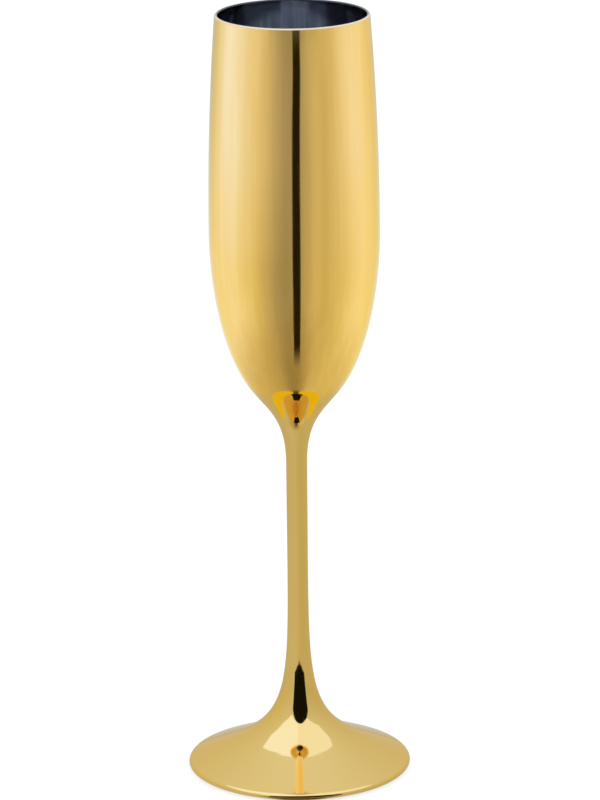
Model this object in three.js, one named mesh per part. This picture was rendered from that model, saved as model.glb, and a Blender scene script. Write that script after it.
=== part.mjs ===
// Champagne flute in clear glass, mirrored and lacquered gold on the outside.
// Millimetres, +Z up, origin at the centre of the plane that the flute stands on.
//
// Three glass pieces are fused end to end: a spun foot, a drawn stem and a blown bowl.
// Two skins run unbroken over all three, from the standing ring's outer edge up to the lip:
// a mirror film on the glass, and a gold-tinted lacquer on the film.
// The lip, the inside of the bowl and the underside of the foot are bare glass.

import * as THREE from "three";

// Driving dimensions
const HEIGHT = 240;
const FOOT_RADIUS = 34.8;
const STEM_RADIUS = 3.22;
const BELLY_RADIUS = 26.2;
const BELLY_HEIGHT = 172;
const MOUTH_RADIUS = 23.6;

const FILM_THICKNESS = 0.05;
const LACQUER_THICKNESS = 0.1;
const SKIN_THICKNESS = FILM_THICKNESS + LACQUER_THICKNESS;
const MOUTH_WALL = 0.86; // glass alone, at the lip
const BELLY_WALL = 1.05;
const LIP_RADIUS = MOUTH_WALL / 2;

const STANDING_RING_OUTER = 33;
const STANDING_RING_INNER = 30.5;
const PUNT_HEIGHT = 2.2; // how far the underside is hollowed at the axis
const BOWL_FLOOR_HEIGHT = 119.5;
const FOOT_JOINT_HEIGHT = 33; // the neck is cut at the first step at or above this
const BOWL_JOINT_HEIGHT = 99;

const AROUND = 36; // flats around the axis, the same for every piece so that faces meet

// The finished outside, from the standing ring up to the lip. Heading is the direction of travel
// in degrees, 0 outwards and 90 upwards. The curve leaves a waypoint along its heading with a
// reach of `after`, and arrives at it with a reach of `before`.
const OUTSIDE = [
  { r: STANDING_RING_OUTER, z: 0, heading: 0, after: 1.1 },
  { r: FOOT_RADIUS, z: 1.05, heading: 90, before: 0.6, after: 0.5, steps: 3 },
  { r: 33.9, z: 2.2, heading: 157, before: 0.5, after: 15.5, steps: 2 },
  { r: 13.4, z: 12.5, heading: 140.2, before: 5, after: 12.7, steps: 5 },
  { r: STEM_RADIUS, z: 66, heading: 90, before: 33.3, after: 10, steps: 7 },
  { r: 3.27, z: BOWL_JOINT_HEIGHT, heading: 90, before: 10, after: 16.5, steps: 1 },
  { r: 17, z: 127.5, heading: 61.7, before: 11.5, after: 16.1, steps: 6 },
  { r: BELLY_RADIUS, z: BELLY_HEIGHT, heading: 90, before: 10, after: 20, steps: 5 },
  { r: MOUTH_RADIUS, z: HEIGHT - LIP_RADIUS, heading: 94.4, before: 25, steps: 4 },
];

// The inside of the bowl, from the lip down to the middle of its floor.
const INSIDE = [
  { r: MOUTH_RADIUS - SKIN_THICKNESS - MOUTH_WALL, z: HEIGHT - LIP_RADIUS, heading: 274.4, after: 25 },
  {
    r: BELLY_RADIUS - SKIN_THICKNESS - BELLY_WALL,
    z: BELLY_HEIGHT,
    heading: 270,
    before: 20,
    after: 31,
    steps: 4,
  },
  { r: 0, z: BOWL_FLOOR_HEIGHT, heading: 180, before: 14, steps: 8 },
];

// The hollowed underside, from its middle out to the standing ring.
const UNDERSIDE = [
  { r: 0, z: PUNT_HEIGHT, heading: 0, after: 14 },
  { r: STANDING_RING_INNER, z: 0, heading: -12, before: 8, steps: 4 },
];

// The point and the outward normal at each step along a row of waypoints.
function trace(waypoints) {
  const direction = (heading) =>
    new THREE.Vector2(1, 0).rotateAround(new THREE.Vector2(), THREE.MathUtils.degToRad(heading));
  const first = waypoints[0];
  const traced = [{ point: new THREE.Vector2(first.r, first.z), along: direction(first.heading) }];
  for (let i = 1; i < waypoints.length; i++) {
    const [from, to] = [waypoints[i - 1], waypoints[i]];
    const start = new THREE.Vector2(from.r, from.z);
    const end = new THREE.Vector2(to.r, to.z);
    const curve = new THREE.CubicBezierCurve(
      start,
      start.clone().addScaledVector(direction(from.heading), from.after),
      end.clone().addScaledVector(direction(to.heading), -to.before),
      end,
    );
    for (let step = 1; step <= to.steps; step++) {
      const t = step / to.steps;
      const along = t < 1 ? curve.getTangent(t) : direction(to.heading);
      traced.push({ point: curve.getPoint(t), along });
    }
  }
  return traced.map(({ point, along }) => ({ point, normal: new THREE.Vector2(along.y, -along.x) }));
}

// The traced points moved inwards by a depth below the finished surface.
function sunk(traced, depth) {
  return traced.map(({ point, normal }) => point.clone().addScaledVector(normal, -depth));
}

// The rounded top edge, from the outer wall over to the inner wall, without its two ends.
function lipArc(steps) {
  const middle = new THREE.Vector2(MOUTH_RADIUS - SKIN_THICKNESS - LIP_RADIUS, HEIGHT - LIP_RADIUS);
  const arc = [];
  for (let step = 1; step < steps; step++) {
    const angle = (Math.PI * step) / steps;
    arc.push(new THREE.Vector2(LIP_RADIUS, 0).rotateAround(new THREE.Vector2(), angle).add(middle));
  }
  return arc;
}

// A profile of radius and height, turned about the Z axis into a closed mesh.
function turned(name, profile, material) {
  const geometry = new THREE.LatheGeometry(profile, AROUND);
  geometry.rotateX(Math.PI / 2);
  const mesh = new THREE.Mesh(geometry, new THREE.MeshStandardMaterial(material));
  mesh.name = name;
  return mesh;
}

const outside = trace(OUTSIDE);
const glassSurface = sunk(outside, SKIN_THICKNESS);
glassSurface[0].y = 0; // the standing ring is bare, so it keeps its full height
const filmSurface = sunk(outside, LACQUER_THICKNESS);
const lacquerSurface = sunk(outside, 0);

const footTop = outside.findIndex(({ point }) => point.y >= FOOT_JOINT_HEIGHT);
const stemTop = outside.findIndex(({ point }) => point.y >= BOWL_JOINT_HEIGHT);
const SKIN_START = 1; // the skins begin one step above the standing ring

const onAxis = (height) => new THREE.Vector2(0, height);
const CLEAR_GLASS = { color: 0xdfe6ea, roughness: 0.04, metalness: 0 };

function foot() {
  const underside = trace(UNDERSIDE).map(({ point }) => point);
  const edgeAndNeck = glassSurface.slice(0, footTop + 1);
  const profile = [...underside, ...edgeAndNeck, onAxis(glassSurface[footTop].y)];
  return turned("foot", profile, CLEAR_GLASS);
}

function stem() {
  const side = glassSurface.slice(footTop, stemTop + 1);
  const profile = [onAxis(side[0].y), ...side, onAxis(side.at(-1).y)];
  return turned("stem", profile, CLEAR_GLASS);
}

function bowl() {
  const wall = glassSurface.slice(stemTop);
  const inside = trace(INSIDE).map(({ point }) => point);
  const profile = [onAxis(wall[0].y), ...wall, ...lipArc(4), ...inside];
  return turned("bowl", profile, CLEAR_GLASS);
}

// A closed skin between an inner and an outer surface that have matching points.
function skin(name, innerSurface, outerSurface, material) {
  const inner = innerSurface.slice(SKIN_START);
  const outer = outerSurface.slice(SKIN_START);
  return turned(name, [...outer, ...inner.reverse(), outer[0]], material);
}

const flute = new THREE.Group();
flute.add(
  foot(),
  stem(),
  bowl(),
  skin("mirror_film", glassSurface, filmSurface, { color: 0xc9d0d8, roughness: 0.05, metalness: 1 }),
  skin("gold_lacquer", filmSurface, lacquerSurface, { color: 0xe0b25a, roughness: 0.12, metalness: 1 }),
);

export default flute;
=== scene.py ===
"""Champagne flute: the finished look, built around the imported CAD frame. Metres throughout."""

import math

import bpy
from mathutils import Matrix, Vector


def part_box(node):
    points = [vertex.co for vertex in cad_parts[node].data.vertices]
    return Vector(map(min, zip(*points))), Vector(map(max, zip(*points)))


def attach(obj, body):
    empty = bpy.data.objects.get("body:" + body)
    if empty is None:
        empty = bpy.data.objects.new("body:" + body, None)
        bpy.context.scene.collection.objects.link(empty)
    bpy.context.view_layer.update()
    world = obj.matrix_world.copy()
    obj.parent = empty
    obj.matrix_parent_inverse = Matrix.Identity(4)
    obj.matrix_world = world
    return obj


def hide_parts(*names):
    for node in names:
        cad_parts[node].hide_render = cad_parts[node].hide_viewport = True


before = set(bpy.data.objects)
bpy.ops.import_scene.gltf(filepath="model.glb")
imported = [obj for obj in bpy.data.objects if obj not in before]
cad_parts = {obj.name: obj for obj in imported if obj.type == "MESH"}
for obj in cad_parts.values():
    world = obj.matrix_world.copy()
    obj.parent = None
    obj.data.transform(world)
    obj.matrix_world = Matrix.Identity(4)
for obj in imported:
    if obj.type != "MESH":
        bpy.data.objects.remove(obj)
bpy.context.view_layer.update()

MM = 0.001

# ---------------------------------------------------------------------------
# Driving dimensions: what the frame says, and the shape between
# ---------------------------------------------------------------------------

LIP_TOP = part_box("bowl")[1].z
BOWL_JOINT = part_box("bowl")[0].z
FOOT_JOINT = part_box("foot")[1].z
FOOT_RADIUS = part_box("gold_lacquer")[1].x
LACQUER = FOOT_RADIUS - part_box("mirror_film")[1].x
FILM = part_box("mirror_film")[1].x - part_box("foot")[1].x
SKIN = LACQUER + FILM

BELLY_RADIUS = 26.2 * MM
BELLY_HEIGHT = 172 * MM
MOUTH_RADIUS = 23.6 * MM
STEM_RADIUS = 3.22 * MM
MOUTH_WALL = 0.86 * MM
BELLY_WALL = 1.05 * MM
LIP_RADIUS = MOUTH_WALL / 2
STANDING_RING_OUTER = 33 * MM
STANDING_RING_INNER = 30.5 * MM
PUNT_HEIGHT = 2.2 * MM
BOWL_FLOOR_HEIGHT = 119.5 * MM

AROUND = 160  # steps round the axis
STRAIGHT_STEP = 3 * MM  # length of a step along the profile where it is straight
TURN_STEP = math.radians(4)  # turn of a step along the profile where it is curved
FINE_STEPS = 400  # points of a curve before they are thinned out to those steps
CORNER = math.radians(35)  # a sharper turn than this is a corner, not a curve
TINY = 0.0001 * MM

# Waypoints of the finished outside: radius, height, heading in degrees (0 outwards, 90 upwards),
# and how far the curve holds that heading before and after the waypoint.
OUTSIDE = [
    (STANDING_RING_OUTER, 0, 0, 0, 1.1 * MM),
    (FOOT_RADIUS, 1.05 * MM, 90, 0.6 * MM, 0.5 * MM),
    (33.9 * MM, 2.2 * MM, 157, 0.5 * MM, 15.5 * MM),
    (13.4 * MM, 12.5 * MM, 140.2, 5 * MM, 12.7 * MM),
    (STEM_RADIUS, 66 * MM, 90, 33.3 * MM, 10 * MM),
    (3.27 * MM, BOWL_JOINT, 90, 10 * MM, 16.5 * MM),
    (17 * MM, 127.5 * MM, 61.7, 11.5 * MM, 16.1 * MM),
    (BELLY_RADIUS, BELLY_HEIGHT, 90, 10 * MM, 20 * MM),
    (MOUTH_RADIUS, LIP_TOP - LIP_RADIUS, 94.4, 25 * MM, 0),
]
# The same for the inside of the bowl, from the lip down, and for the underside, from its middle out.
INSIDE = [
    (MOUTH_RADIUS - SKIN - MOUTH_WALL, LIP_TOP - LIP_RADIUS, 274.4, 0, 25 * MM),
    (BELLY_RADIUS - SKIN - BELLY_WALL, BELLY_HEIGHT, 270, 20 * MM, 31 * MM),
    (0, BOWL_FLOOR_HEIGHT, 180, 14 * MM, 0),
]
UNDERSIDE = [
    (0, PUNT_HEIGHT, 0, 0, 14 * MM),
    (STANDING_RING_INNER, 0, -12, 8 * MM, 0),
]
SKIN_START = 0.14 * MM  # height at which the skins begin, just above the standing ring


# ---------------------------------------------------------------------------
# Profiles and turned meshes
# ---------------------------------------------------------------------------

def heading_vector(degrees):
    """The direction of travel for a heading: 0 outwards, 90 upwards."""
    angle = math.radians(degrees)
    return Vector((math.cos(angle), math.sin(angle)))


def bezier(controls, t):
    """Point and direction of a cubic curve, given its four control points."""
    a, b, c, d = controls
    s = 1 - t
    point = a * s ** 3 + b * (3 * s * s * t) + c * (3 * s * t * t) + d * t ** 3
    along = (b - a) * (s * s) + (c - b) * (2 * s * t) + (d - c) * (t * t)
    return point, along.normalized()


def trace(waypoints):
    """(point, outward normal) pairs along the waypoints, closer together where the curve turns."""
    traced = []
    for start, end in zip(waypoints, waypoints[1:]):
        first = Vector(start[:2])
        last = Vector(end[:2])
        controls = (
            first,
            first + heading_vector(start[2]) * start[4],
            last - heading_vector(end[2]) * end[3],
            last,
        )
        fine = [bezier(controls, i / FINE_STEPS) for i in range(FINE_STEPS + 1)]
        effort = [0.0]
        for (p, a), (q, b) in zip(fine, fine[1:]):
            effort.append(effort[-1] + (q - p).length / STRAIGHT_STEP + a.angle(b, 0) / TURN_STEP)
        steps = max(2, round(effort[-1]))
        picked = []
        for step in range(steps + 1):
            wanted = effort[-1] * step / steps
            picked.append(min(range(FINE_STEPS + 1), key=lambda i: abs(effort[i] - wanted)))
        traced += [fine[i] for i in (picked[1:] if traced else picked)]
    return [(point, Vector((along.y, -along.x))) for point, along in traced]


def sunk(traced, depth):
    """The traced points, moved inwards by a depth below the finished surface."""
    return [point - normal * depth for point, normal in traced]


def turned(name, profile, materials, material_at=None):
    """A profile of (radius, height) points, closed by the axis or on itself, turned into a mesh.

    Given the middle of a step of the profile, material_at says which material that step has.
    """
    loop = profile[:-1] if profile[0] == profile[-1] else profile
    closed = loop is not profile
    vertices = []
    rows = []
    for radius, height in loop:
        if radius < TINY:
            rows.append([len(vertices)] * AROUND)
            vertices.append((0, 0, height))
            continue
        rows.append([len(vertices) + i for i in range(AROUND)])
        for i in range(AROUND):
            angle = 2 * math.pi * i / AROUND
            vertices.append((radius * math.cos(angle), radius * math.sin(angle), height))
    faces = []
    face_materials = []
    pairs = list(zip(range(len(rows)), range(1, len(rows))))
    if closed:
        pairs.append((len(rows) - 1, 0))
    for low, high in pairs:
        middle = (loop[low] + loop[high]) / 2
        for i in range(AROUND):
            j = (i + 1) % AROUND
            corners = [rows[low][i], rows[low][j], rows[high][j], rows[high][i]]
            corners = list(dict.fromkeys(corners))
            if len(corners) > 2:
                faces.append(corners)
                face_materials.append(material_at(middle) if material_at else 0)
    mesh = bpy.data.meshes.new(name)
    mesh.from_pydata(vertices, [], faces)
    mesh.polygons.foreach_set("material_index", face_materials)
    mesh.polygons.foreach_set("use_smooth", [True] * len(faces))
    mesh.validate()
    mesh.update()
    mesh.set_sharp_from_angle(angle=CORNER)
    piece = bpy.data.objects.new(name, mesh)
    bpy.context.scene.collection.objects.link(piece)
    for material in materials:
        mesh.materials.append(material)
    return piece


# ---------------------------------------------------------------------------
# Node helpers
# ---------------------------------------------------------------------------

class Graph:
    """Short calls for building a node tree."""

    def __init__(self, owner):
        owner.use_nodes = True
        self.tree = owner.node_tree
        self.tree.nodes.clear()

    def add(self, kind, **settings):
        node = self.tree.nodes.new(kind)
        for key, value in settings.items():
            setattr(node, key, value)
        return node

    def feed(self, socket, value):
        if isinstance(value, bpy.types.NodeSocket):
            self.tree.links.new(value, socket)
        else:
            socket.default_value = value

    def math(self, operation, *values):
        node = self.add("ShaderNodeMath", operation=operation)
        for socket, value in zip(node.inputs, values):
            self.feed(socket, value)
        return node.outputs[0]

    def apart(self, a, b):
        """How far apart two numbers are."""
        return self.math("ABSOLUTE", self.math("SUBTRACT", a, b))

    def span(self, value, low, high, out_low=0.0, out_high=1.0, smooth=True):
        """The value's place between low and high, as a number from out_low to out_high."""
        kind = "SMOOTHSTEP" if smooth else "LINEAR"
        node = self.add("ShaderNodeMapRange", interpolation_type=kind)
        for socket, number in zip(node.inputs, (value, low, high, out_low, out_high)):
            self.feed(socket, number)
        return node.outputs[0]

    def ramp(self, value, stops):
        """A colour ramp with (place, colour) stops."""
        node = self.add("ShaderNodeValToRGB")
        ramp = node.color_ramp
        ramp.interpolation = "CARDINAL"
        while len(ramp.elements) < len(stops):
            ramp.elements.new(0.5)
        for element, (place, colour) in zip(ramp.elements, stops):
            element.position = place
            element.color = colour
        self.feed(node.inputs[0], value)
        return node.outputs[0]

    def mix(self, share, a, b):
        """Colour a where the share is 0, colour b where it is 1."""
        node = self.add("ShaderNodeMix", data_type="RGBA")
        self.feed(node.inputs[0], share)
        self.feed(node.inputs[6], a)
        self.feed(node.inputs[7], b)
        return node.outputs[2]


DEGREES = 180 / math.pi  # in a radian


def coordinates(graph):
    """The x, y and z of the shaded point, in its object's own metres."""
    split = graph.add("ShaderNodeSeparateXYZ")
    graph.feed(split.inputs[0], graph.add("ShaderNodeTexCoord").outputs["Object"])
    return split.outputs


def round_the_axis(graph):
    """Degrees round the flute, 0 towards the front and 90 to the right; distance out; height."""
    x, y, z = coordinates(graph)
    angle = graph.math("ARCTAN2", x, graph.math("MULTIPLY", y, -1.0))
    square = graph.math("ADD", graph.math("MULTIPLY", x, x), graph.math("MULTIPLY", y, y))
    return graph.math("MULTIPLY", angle, DEGREES), graph.math("SQRT", square), z


BRIGHTEST = 2.8  # strength of every surface that only reflections show; colours are shares of it


def emission(name):
    """A material that only glows, with its glow node."""
    material = bpy.data.materials.new(name)
    graph = Graph(material)
    glow = graph.add("ShaderNodeEmission")
    out = graph.add("ShaderNodeOutputMaterial")
    graph.tree.links.new(glow.outputs[0], out.inputs[0])
    glow.inputs["Strength"].default_value = BRIGHTEST
    return material, graph, glow


def radiance(red, green, blue):
    """The colour that an emission of full strength needs to give this radiance."""
    return (red / BRIGHTEST, green / BRIGHTEST, blue / BRIGHTEST, 1)


# ---------------------------------------------------------------------------
# Materials of the flute
# ---------------------------------------------------------------------------

GOLD = (0.93, 0.61, 0.125, 1)
GOLD_DEEP = (0.905, 0.58, 0.105, 1)  # in the draw lines
GOLD_GLANCING = (1.0, 0.84, 0.36, 1)
FILM_FRONT = (0.72, 0.75, 0.79, 1)
FILM_FRONT_DARK = (0.64, 0.67, 0.72, 1)
FILM_BACK = (0.95, 0.95, 0.92, 1)
FILM_BACK_DARK = (0.83, 0.84, 0.82, 1)
# painted shade: the mirror's colour at the left and right sides under the lip
FILM_BACK_SIDE_SHADE = (0.31, 0.31, 0.33, 1)
THICK_BASE = (0.90, 0.93, 0.96, 1)
# Painted light on the bare glass: a cream painted highlight outside, tinted by the gold, and a dark
# painted shade inside
LIP_HIGHLIGHT_CREAM = (0.86, 0.75, 0.54, 1)
LIP_HIGHLIGHT_CREAM_DEEP = (0.80, 0.69, 0.48, 1)
LIP_INSIDE_SHADE = (0.03, 0.035, 0.045, 1)

# Depths of the relief
LACQUER_RELIEF = 0.006 * MM
FILM_RELIEF = 0.004 * MM
INSIDE_RELIEF = 0.010 * MM
LIP_RELIEF = 0.004 * MM

# Heights between which a look comes in
DRAW_LINES_START = (14 * MM, 30 * MM)
# the painted shade at the sides of the bowl comes in between these heights
SIDE_SHADE_START = (218 * MM, 222 * MM)
THICK_BASE_START = (112 * MM, 116 * MM)
THICK_BASE_END = (160 * MM, 140 * MM)

SIDE_SHADE_MIDDLE = -2.2 * MM  # the painted shade lies to the left and right of here
SIDE_SHADE_OUT = (11 * MM, 14 * MM)


def principled(name):
    """A material with a Principled surface, with its shader node."""
    material = bpy.data.materials.new(name)
    graph = Graph(material)
    shader = graph.add("ShaderNodeBsdfPrincipled")
    out = graph.add("ShaderNodeOutputMaterial")
    graph.tree.links.new(shader.outputs[0], out.inputs[0])
    return material, graph, shader


def stretched_noise(graph, scale, stretch, detail):
    """Noise drawn out along the axis, as the draw lines of blown glass are."""
    mapping = graph.add("ShaderNodeMapping")
    graph.feed(mapping.inputs["Vector"], graph.add("ShaderNodeTexCoord").outputs["Object"])
    mapping.inputs["Scale"].default_value = (1, 1, 1 / stretch)
    noise = graph.add("ShaderNodeTexNoise")
    graph.feed(noise.inputs["Vector"], mapping.outputs[0])
    noise.inputs["Scale"].default_value = scale
    noise.inputs["Detail"].default_value = detail
    return noise.outputs["Fac"]


def draw_lines(graph):
    return stretched_noise(graph, 420, 60, 2)


def from_height(graph, none, full):
    """0 at and beyond one height, 1 at and beyond the other, smooth between them."""
    _, _, z = coordinates(graph)
    return graph.span(z, none, full)


def bump(graph, shader, height, distance):
    """Relief on the surface, with its depth in metres."""
    node = graph.add("ShaderNodeBump")
    node.inputs["Strength"].default_value = 1
    node.inputs["Distance"].default_value = distance
    graph.feed(node.inputs["Height"], height)
    graph.feed(shader.inputs["Normal"], node.outputs[0])


def gold_lacquer_material():
    material, graph, shader = principled("gold_tinted_lacquer")
    lines = draw_lines(graph)
    deep = graph.math("MULTIPLY", graph.span(lines, 0.38, 0.62), from_height(graph, *DRAW_LINES_START))
    graph.feed(shader.inputs["Base Color"], graph.mix(deep, GOLD, GOLD_DEEP))
    shader.inputs["Metallic"].default_value = 1
    shader.inputs["Specular Tint"].default_value = GOLD_GLANCING
    haze = stretched_noise(graph, 900, 12, 3)
    graph.feed(shader.inputs["Roughness"], graph.span(haze, 0.3, 0.7, 0.05, 0.08))
    peel = graph.math("MULTIPLY", stretched_noise(graph, 500, 1, 1), 0.25)
    bump(graph, shader, graph.math("ADD", lines, peel), LACQUER_RELIEF)
    shader.inputs["Coat Weight"].default_value = 1
    shader.inputs["Coat Roughness"].default_value = 0.03
    shader.inputs["Coat IOR"].default_value = 1.5
    return material


def mirror_film_material():
    material, graph, shader = principled("metal_film")
    cloud = stretched_noise(graph, 200, 10, 3)
    colour = graph.mix(graph.span(cloud, 0.3, 0.7), FILM_FRONT, FILM_FRONT_DARK)
    graph.feed(shader.inputs["Base Color"], colour)
    shader.inputs["Metallic"].default_value = 1
    graph.feed(shader.inputs["Roughness"], graph.span(cloud, 0.3, 0.7, 0.06, 0.12))
    bump(graph, shader, cloud, FILM_RELIEF)
    return material


def backed_glass_material():
    """Clear glass with the film behind it: a cool grey mirror under a glassy surface.

    Its colour is painted darker at the sides under the lip, a painted shade, and it is duller where
    the glass is thick at the bowl's base.
    """
    material, graph, shader = principled("glass_over_film")
    cloud = stretched_noise(graph, 150, 30, 3)
    streaks = stretched_noise(graph, 260, 60, 2)
    colour = graph.mix(graph.span(streaks, 0.4, 0.6), FILM_BACK, FILM_BACK_DARK)
    # Painted shade: the colour darkens to the left and right of the bowl under the lip.
    x, _, _ = coordinates(graph)
    beside = graph.span(graph.apart(x, SIDE_SHADE_MIDDLE), *SIDE_SHADE_OUT)
    side_shade = graph.math("MULTIPLY", beside, from_height(graph, *SIDE_SHADE_START))
    colour = graph.mix(side_shade, colour, FILM_BACK_SIDE_SHADE)
    over_base = from_height(graph, *THICK_BASE_START)
    thick = graph.math("MULTIPLY", over_base, from_height(graph, *THICK_BASE_END))
    graph.feed(shader.inputs["Base Color"], graph.mix(thick, colour, THICK_BASE))
    shader.inputs["Metallic"].default_value = 1
    haze = graph.span(cloud, 0.3, 0.7, 0.05, 0.12)
    graph.feed(shader.inputs["Roughness"], graph.math("ADD", haze, graph.math("MULTIPLY", thick, 0.5)))
    bump(graph, shader, draw_lines(graph), INSIDE_RELIEF)
    shader.inputs["Coat Weight"].default_value = 1
    shader.inputs["Coat Roughness"].default_value = 0.02
    return material


def bare_glass_material():
    """The lip and the standing ring: glass with no film on it.

    Its outside is painted cream, a painted highlight tinted by the gold beside it, and its inside is
    painted as dark as the bowl, a painted shade.
    """
    material, graph, shader = principled("bare_glass")
    cloud = stretched_noise(graph, 300, 1, 2)
    # painted highlight: cream on the outside of the lip and the standing ring
    painted_cream = graph.mix(graph.span(cloud, 0.3, 0.7), LIP_HIGHLIGHT_CREAM, LIP_HIGHLIGHT_CREAM_DEEP)
    _, out, _ = round_the_axis(graph)
    middle = MOUTH_RADIUS - SKIN - LIP_RADIUS
    outer = graph.span(out, middle - 0.05 * MM, middle + 0.25 * MM)
    # painted shade on the inner face of the lip, painted highlight on the outer face
    graph.feed(shader.inputs["Base Color"], graph.mix(outer, LIP_INSIDE_SHADE, painted_cream))
    graph.feed(shader.inputs["Roughness"], graph.span(cloud, 0.3, 0.7, 0.03, 0.06))
    bump(graph, shader, cloud, LIP_RELIEF)
    shader.inputs["Coat Weight"].default_value = 1
    return material


# ---------------------------------------------------------------------------
# The flute
# ---------------------------------------------------------------------------

def lip_arc(steps):
    """The rounded top edge, from the outer wall over to the inner wall, without its two ends."""
    middle = Vector((MOUTH_RADIUS - SKIN - LIP_RADIUS, LIP_TOP - LIP_RADIUS))
    return [middle + heading_vector(180 * i / steps) * LIP_RADIUS for i in range(1, steps)]


def cut_at(traced, height):
    """The traced outside with a point added where it crosses a height."""
    for i, ((p, n), (q, m)) in enumerate(zip(traced, traced[1:])):
        if p.y < height < q.y:
            share = (height - p.y) / (q.y - p.y)
            crossing = (p.lerp(q, share), n.lerp(m, share).normalized())
            return traced[: i + 1] + [crossing] + traced[i + 1 :]
    return traced


def build_flute():
    """The three glass pieces and the two skins, each in place of its CAD node."""
    outside = cut_at(cut_at(trace(OUTSIDE), SKIN_START), FOOT_JOINT)
    glass = sunk(outside, SKIN)
    glass[0].y = 0
    skin_first = next(i for i, (p, _) in enumerate(outside) if p.y >= SKIN_START - TINY)
    foot_last = next(i for i, (p, _) in enumerate(outside) if p.y >= FOOT_JOINT - TINY)
    stem_last = next(i for i, (p, _) in enumerate(outside) if p.y >= BOWL_JOINT - TINY)

    backed = backed_glass_material()
    bare = bare_glass_material()
    film = mirror_film_material()
    gold = gold_lacquer_material()

    underside = [p for p, _ in trace(UNDERSIDE)]
    foot_profile = underside + glass[: foot_last + 1] + [Vector((0, glass[foot_last].y))]
    foot = turned(
        "foot_glass",
        foot_profile,
        [backed, bare],
        lambda p: 1 if p.x > STANDING_RING_INNER and p.y < SKIN_START else 0,
    )

    stem_side = glass[foot_last : stem_last + 1]
    stem_profile = [Vector((0, stem_side[0].y))] + stem_side + [Vector((0, stem_side[-1].y))]
    stem = turned("stem_glass", stem_profile, [backed])

    inside = [p for p, _ in trace(INSIDE)]
    wall = glass[stem_last:]
    bowl_profile = [Vector((0, wall[0].y))] + wall + lip_arc(10) + inside
    bowl = turned(
        "bowl_glass",
        bowl_profile,
        [backed, bare],
        lambda p: 1 if p.y > LIP_TOP - LIP_RADIUS else 0,
    )

    def skin(name, depth_in, depth_out, material):
        inner = sunk(outside, depth_in)[skin_first:]
        outer = sunk(outside, depth_out)[skin_first:]
        return turned(name, outer + inner[::-1] + [outer[0]], [material])

    mirror = skin("mirror_film_skin", SKIN, LACQUER, film)
    lacquer = skin("gold_lacquer_coat", LACQUER, 0, gold)

    for piece, node, slot in (
        (foot, "foot", "clear_glass"),
        (stem, "stem", "clear_glass"),
        (bowl, "bowl", "clear_glass"),
        (mirror, "mirror_film", "mirror_film"),
        (lacquer, "gold_lacquer", "gold_lacquer"),
    ):
        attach(piece, "root")
        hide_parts(node)


# ---------------------------------------------------------------------------
# Studio
# ---------------------------------------------------------------------------

# The table, the room and the softboxes below show only in reflections. The floor doesn't.

ROOM = 8.0  # radius of the table and the room
FLOOR_DEPTH = 0.2 * MM  # under the flute
TABLE_DEPTH = 0.4 * MM

# The unlit gap in the room round the camera, in degrees
GAP_MIDDLE = 6.0
GAP_HALF = 38.0
GAP_TOP = 53.5  # above the table, at the middle of its arched top
GAP_ARCH = 25.0  # how much lower the arch ends at its sides
GAP_EDGE = 1.5
GAP_TOP_EDGE = 1.0
UNLIT = (0.008, 0.008, 0.008)

# The dark strip on the table, towards the camera, in degrees
STRIP_MIDDLE_NEAR = 2.6
STRIP_MIDDLE_FAR = 5.2
STRIP_HALF = 5.3
STRIP_EDGE = 0.7
STRIP_DARK = (0.018, 0.015, 0.010)

# Distances from the axis, in metres, over which the table changes
NEAR_TO_MIDDLE = (0.06, 0.32)
MIDDLE_TO_FAR = (0.35, 1.30)
STRIP_TURNS = (0.5, 3.0)
STRIP_STARTS = (0.10, 0.17)
WEDGE_OPENS = (0.22, 0.40)
FAR_EDGE = (4.0, 7.5)

# Heights on the flute over which it goes on to mirror another kind of table
FOOT_TO_STEM = (34 * MM, 38 * MM)
STEM_TO_BOWL = (118 * MM, 128 * MM)

# The golden glow on the table round the foot: the bowl's base mirrors it as a bow-tie
GLOW = (0.84, 0.68, 0.03)
GLOW_RADIUS_FRONT = 44 * MM
GLOW_RADIUS_BACK = 72 * MM
GLOW_HEIGHT_FRONT = 142 * MM  # the lowest point of the flute that mirrors it
GLOW_HEIGHT_BACK = 112 * MM
GLOW_SPLIT = (10.0, 18.0)  # degrees from the front over which it comes in

# The foot's contact shadow on the table, in degrees: wider for the foot than for the stem
SHADOW = (0.10, 0.08, 0.05)
SHADOW_HALF_LOW = 18.0
SHADOW_HALF_HIGH = 7.0
SHADOW_SOFT = 10.0
SHADOW_ENDS = (40 * MM, 52 * MM)


def only_in_reflections(thing):
    """The thing, hidden from everything but glossy rays."""
    thing.visible_camera = False
    thing.visible_diffuse = False
    thing.visible_transmission = False
    thing.visible_volume_scatter = False
    thing.visible_shadow = False
    return thing


def around(graph, degrees, stops):
    """A colour that changes round the flute, from (degrees, colour) stops."""
    place = graph.span(degrees, -180.0, 180.0, smooth=False)
    return graph.ramp(place, [((angle + 180) / 360, radiance(*colour)) for angle, colour in stops])


# Colours of the table round the flute, as the bowl mirrors them: far out, at arm's length and
# near. PLAIN_TABLE is what the stem and the foot mirror. The stops are fitted to the photo's
# colours and rounded.
FAR_TABLE = [
    (-180, (0.60, 0.60, 0.60)),
    (-150, (0.66, 0.70, 0.72)),
    (-128, (0.88, 0.95, 1.25)),
    (-105, (1.00, 1.20, 2.50)),
    (-85, (0.99, 1.18, 2.40)),
    (-62, (0.91, 0.98, 1.45)),
    (-45, (0.81, 0.83, 1.10)),
    (-28, (0.61, 0.62, 0.76)),
    (-10, (0.42, 0.42, 0.54)),
    (12, (0.48, 0.48, 0.57)),
    (28, (0.66, 0.66, 0.72)),
    (50, (0.71, 0.70, 0.74)),
    (75, (0.93, 0.98, 1.38)),
    (92, (0.99, 1.07, 1.66)),
    (120, (0.95, 0.98, 1.10)),
    (150, (0.79, 0.76, 0.66)),
    (180, (0.60, 0.60, 0.60)),
]
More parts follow.
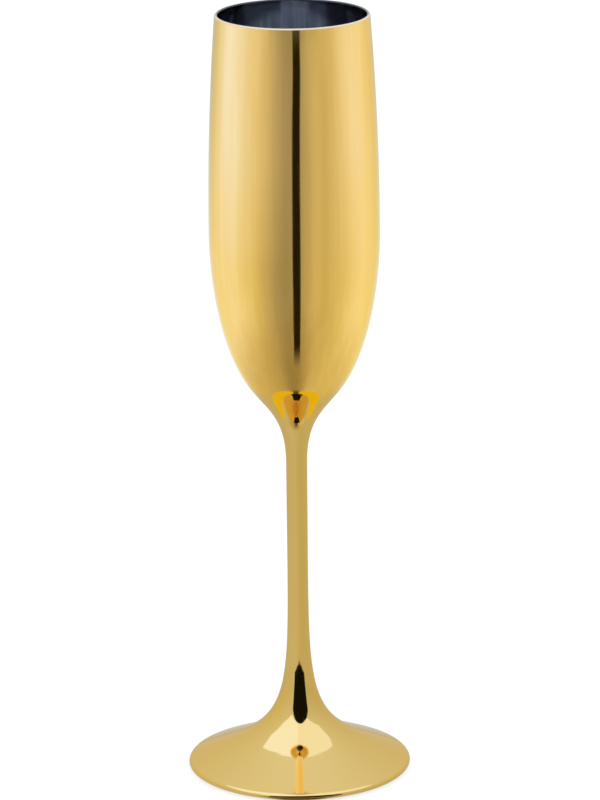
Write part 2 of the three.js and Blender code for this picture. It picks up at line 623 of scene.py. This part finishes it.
MIDDLE_TABLE = [
    (-180, (0.90, 0.90, 0.90)),
    (-135, (0.97, 1.01, 1.00)),
    (-105, (1.00, 1.08, 1.40)),
    (-78, (0.94, 0.98, 1.12)),
    (-60, (0.83, 0.84, 0.78)),
    (-45, (0.68, 0.66, 0.60)),
    (-30, (0.51, 0.50, 0.53)),
    (-12, (0.38, 0.38, 0.41)),
    (12, (0.50, 0.49, 0.51)),
    (26, (0.68, 0.65, 0.61)),
    (48, (0.70, 0.68, 0.58)),
    (75, (0.88, 0.88, 0.86)),
    (98, (0.99, 1.02, 1.12)),
    (120, (0.99, 1.01, 0.95)),
    (150, (0.90, 0.92, 0.75)),
    (180, (0.90, 0.90, 0.90)),
]
NEAR_TABLE = [
    (-180, (0.62, 0.60, 0.50)),
    (-105, (0.66, 0.60, 0.46)),
    (-60, (0.58, 0.53, 0.40)),
    (-30, (0.47, 0.44, 0.39)),
    (-12, (0.36, 0.32, 0.25)),
    (12, (0.42, 0.36, 0.27)),
    (30, (0.60, 0.56, 0.46)),
    (60, (0.73, 0.70, 0.57)),
    (105, (0.72, 0.68, 0.48)),
    (180, (0.62, 0.60, 0.50)),
]
PLAIN_TABLE = [
    (-180, (0.56, 0.53, 0.44)),
    (-140, (0.60, 0.59, 0.52)),
    (-90, (0.62, 0.64, 0.74)),
    (-45, (0.63, 0.66, 0.78)),
    (0, (0.62, 0.64, 0.68)),
    (45, (0.59, 0.60, 0.60)),
    (90, (0.60, 0.62, 0.62)),
    (140, (0.60, 0.59, 0.52)),
    (180, (0.56, 0.53, 0.44)),
]


def mirrored_height(graph, out):
    """The height of the point on the flute that mirrors this place on the table.

    It follows from the slope at which a ray meets the table, as if it came from the axis.
    """
    steep = graph.math("SUBTRACT", 1.0, graph.add("ShaderNodeLayerWeight").outputs["Facing"])
    level = graph.math("SQRT", graph.math("SUBTRACT", 1.0, graph.math("MULTIPLY", steep, steep)))
    return graph.math("DIVIDE", graph.math("MULTIPLY", out, steep), level)


def table_for_bowl(graph, degrees, out):
    """Bright to both sides, with a dark strip in front."""
    near = around(graph, degrees, NEAR_TABLE)
    middle = around(graph, degrees, MIDDLE_TABLE)
    far = around(graph, degrees, FAR_TABLE)
    shade = graph.mix(graph.span(out, *NEAR_TO_MIDDLE), near, middle)
    shade = graph.mix(graph.span(out, *MIDDLE_TO_FAR), shade, far)
    strip_middle = graph.span(out, *STRIP_TURNS, STRIP_MIDDLE_NEAR, STRIP_MIDDLE_FAR)
    aside = graph.apart(degrees, strip_middle)
    beside_strip = graph.span(aside, STRIP_HALF - STRIP_EDGE, STRIP_HALF + STRIP_EDGE)
    lit = graph.math("MAXIMUM", beside_strip, graph.span(out, *STRIP_STARTS, 1.0, 0.0))
    return graph.mix(lit, radiance(*STRIP_DARK), shade)


def table_for_stem_and_foot(graph, degrees, out, height):
    """Plain, with a dark wedge towards the camera that only the foot and the far edge show."""
    aside = graph.apart(degrees, GAP_MIDDLE)
    half = graph.span(out, *WEDGE_OPENS, 0.0, GAP_HALF, smooth=False)
    in_wedge = graph.span(graph.math("SUBTRACT", aside, half), 1.0, -1.0)
    from_foot = graph.span(height, *FOOT_TO_STEM, 1.0, 0.0)
    shown = graph.math("MAXIMUM", from_foot, graph.span(out, *FAR_EDGE))
    dark = graph.math("MULTIPLY", in_wedge, shown)
    return graph.mix(dark, around(graph, degrees, PLAIN_TABLE), radiance(*UNLIT))


def with_golden_glow(graph, shade, from_front, out, height):
    """The table's shade with the glow laid over it."""
    radius = graph.span(from_front, 20.0, 120.0, GLOW_RADIUS_FRONT, GLOW_RADIUS_BACK, smooth=False)
    inside = graph.span(graph.math("SUBTRACT", out, radius), MM, -MM)
    lowest = graph.span(from_front, 45.0, 120.0, GLOW_HEIGHT_FRONT, GLOW_HEIGHT_BACK, smooth=False)
    high_enough = graph.span(graph.math("SUBTRACT", height, lowest), -2 * MM, 2 * MM)
    glowing = graph.math("MULTIPLY", inside, high_enough)
    glowing = graph.math("MULTIPLY", glowing, graph.span(from_front, *GLOW_SPLIT))
    return graph.mix(glowing, shade, radiance(*GLOW))


def with_contact_shadow(graph, shade, from_front, out, height):
    """The table's shade, darkened close to the foot and in front of it."""
    half = graph.span(height, 10 * MM, 50 * MM, SHADOW_HALF_LOW, SHADOW_HALF_HIGH)
    beside = graph.span(graph.math("SUBTRACT", from_front, half), 0.0, SHADOW_SOFT)
    clear = graph.math("MAXIMUM", graph.span(out, *SHADOW_ENDS), beside)
    return graph.mix(clear, radiance(*SHADOW), shade)


def reflected_table():
    """The tabletop as the flute mirrors it: one table for the bowl, another for the rest."""
    material, graph, glow = emission("table_in_reflection")
    degrees, out, _ = round_the_axis(graph)
    from_front = graph.math("ABSOLUTE", degrees)
    height = mirrored_height(graph, out)
    bowl = graph.span(height, *STEM_TO_BOWL)
    not_at_edge = graph.span(out, *FAR_EDGE, 1.0, 0.0)
    shade = graph.mix(
        graph.math("MULTIPLY", bowl, not_at_edge),
        table_for_stem_and_foot(graph, degrees, out, height),
        table_for_bowl(graph, degrees, out),
    )
    shade = with_golden_glow(graph, shade, from_front, out, height)
    shade = with_contact_shadow(graph, shade, from_front, out, height)
    graph.feed(glow.inputs["Color"], shade)
    place = (0, 0, -TABLE_DEPTH)
    bpy.ops.mesh.primitive_circle_add(vertices=96, radius=ROOM, fill_type="NGON", location=place)
    table = bpy.context.object
    table.name = "table_in_reflection"
    table.data.materials.append(material)
    only_in_reflections(table)


# Colours of the room round the flute at the table's level, and straight above
LOW_ROOM = [
    (-180, (0.66, 0.64, 0.52)),
    (-100, (0.66, 0.65, 0.54)),
    (-45, (0.63, 0.66, 0.76)),
    (45, (0.57, 0.60, 0.70)),
    (100, (0.60, 0.60, 0.54)),
    (180, (0.66, 0.64, 0.52)),
]
HIGH_ROOM = (0.80, 0.90, 1.30)


def reflected_room():
    """Walls and ceiling as the flute mirrors them, with the dark gap round the camera."""
    material, graph, glow = emission("room_in_reflection")
    degrees, out, z = round_the_axis(graph)
    rise = graph.math("MULTIPLY", graph.math("ARCTAN2", z, out), DEGREES)
    walls = around(graph, degrees, LOW_ROOM)
    shade = graph.mix(graph.span(rise, 5.0, 75.0, smooth=False), walls, radiance(*HIGH_ROOM))
    aside = graph.apart(degrees, GAP_MIDDLE)
    bend = graph.math("POWER", graph.math("DIVIDE", aside, GAP_HALF), 3.0)
    top = graph.math("SUBTRACT", GAP_TOP, graph.math("MULTIPLY", bend, GAP_ARCH))
    over = graph.span(graph.math("SUBTRACT", rise, top), -GAP_TOP_EDGE, GAP_TOP_EDGE)
    beside = graph.span(aside, GAP_HALF - GAP_EDGE, GAP_HALF + GAP_EDGE)
    shade = graph.mix(graph.math("MAXIMUM", beside, over), radiance(*UNLIT), shade)
    graph.feed(glow.inputs["Color"], shade)
    around_table = ROOM * 1.02
    bpy.ops.mesh.primitive_uv_sphere_add(segments=64, ring_count=32, radius=around_table)
    room = bpy.context.object
    room.name = "room_in_reflection"
    room.data.materials.append(material)
    only_in_reflections(room)


SOFTBOX_HEIGHT = 3.0

# Corners of the softboxes as shares of that height: to the right, and away from the camera.
# They meet along a line just left of the flute.
SEAM_FRONT = (-0.05, -0.74)
SEAM_BACK = (-0.05, 0.26)
LEFT_SOFTBOX = [
    (-0.80, -1.12),
    SEAM_FRONT,
    SEAM_BACK,
    (-0.34, 0.33),
    (-0.58, 0.56),
    (-0.86, 0.32),
    (-1.00, -0.35),
]
RIGHT_SOFTBOX = [
    SEAM_FRONT,
    (0.14, -0.72),
    (0.66, -0.90),
    (1.02, -0.10),
    (0.80, 0.36),
    (0.56, 0.45),
    (0.30, 0.31),
    SEAM_BACK,
]
LEFT_LIGHT = (1.03, 1.26, 2.55)
RIGHT_LIGHT = (0.99, 1.15, 2.05)


def softbox(name, corners, colour):
    """A flat softbox over the flute and the camera."""
    material, _, glow = emission(name)
    glow.inputs["Color"].default_value = radiance(*colour)
    mesh = bpy.data.meshes.new(name)
    places = [Vector((x, y, 1)) * SOFTBOX_HEIGHT for x, y in corners]
    mesh.from_pydata(places, [], [range(len(places))])
    mesh.materials.append(material)
    box = bpy.data.objects.new(name, mesh)
    bpy.context.scene.collection.objects.link(box)
    only_in_reflections(box)


def build_floor():
    """A pale floor that glows, so that the flute's contact shadow stays faint on it."""
    material, _, shader = principled("pale_floor")
    shader.inputs["Base Color"].default_value = (0.30, 0.30, 0.30, 1)
    shader.inputs["Roughness"].default_value = 0.9
    shader.inputs["Emission Color"].default_value = (1, 1, 1, 1)
    shader.inputs["Emission Strength"].default_value = 0.70
    bpy.ops.mesh.primitive_plane_add(size=2 * ROOM, location=(0, 0, -FLOOR_DEPTH))
    floor = bpy.context.object
    floor.name = "floor"
    floor.visible_glossy = False
    floor.data.materials.append(material)


def build_world():
    world = bpy.data.worlds.new("soft_white")
    world.use_nodes = True
    background = world.node_tree.nodes["Background"]
    background.inputs["Color"].default_value = (1, 1, 1, 1)
    background.inputs["Strength"].default_value = 1.1
    bpy.context.scene.world = world
    bpy.context.scene.view_settings.view_transform = "Standard"


def build_studio():
    reflected_table()
    reflected_room()
    softbox("softbox_left", LEFT_SOFTBOX, LEFT_LIGHT)
    softbox("softbox_right", RIGHT_SOFTBOX, RIGHT_LIGHT)
    build_floor()
    build_world()


def build_camera():
    """The photograph's view: about eleven degrees above the rim, with a long lens."""
    distance = 1.35456
    height = 0.50838
    pitch = math.radians(16.044)  # downwards
    yaw = math.radians(0.052)
    roll = math.radians(0.563)
    data = bpy.data.cameras.new("camera")
    data.lens = 205.58
    data.sensor_width = 36
    data.clip_end = 100
    camera = bpy.data.objects.new("camera", data)
    bpy.context.scene.collection.objects.link(camera)
    camera.matrix_world = (
        Matrix.Translation((0, -distance, height))
        @ Matrix.Rotation(-yaw, 4, "Z")
        @ Matrix.Rotation(math.pi / 2 - pitch, 4, "X")
        @ Matrix.Rotation(-roll, 4, "Z")
    )
    bpy.context.scene.camera = camera


build_flute()
build_studio()
build_camera()
bpy.context.scene.cycles.max_bounces = 20
bpy.context.scene.cycles.glossy_bounces = 16
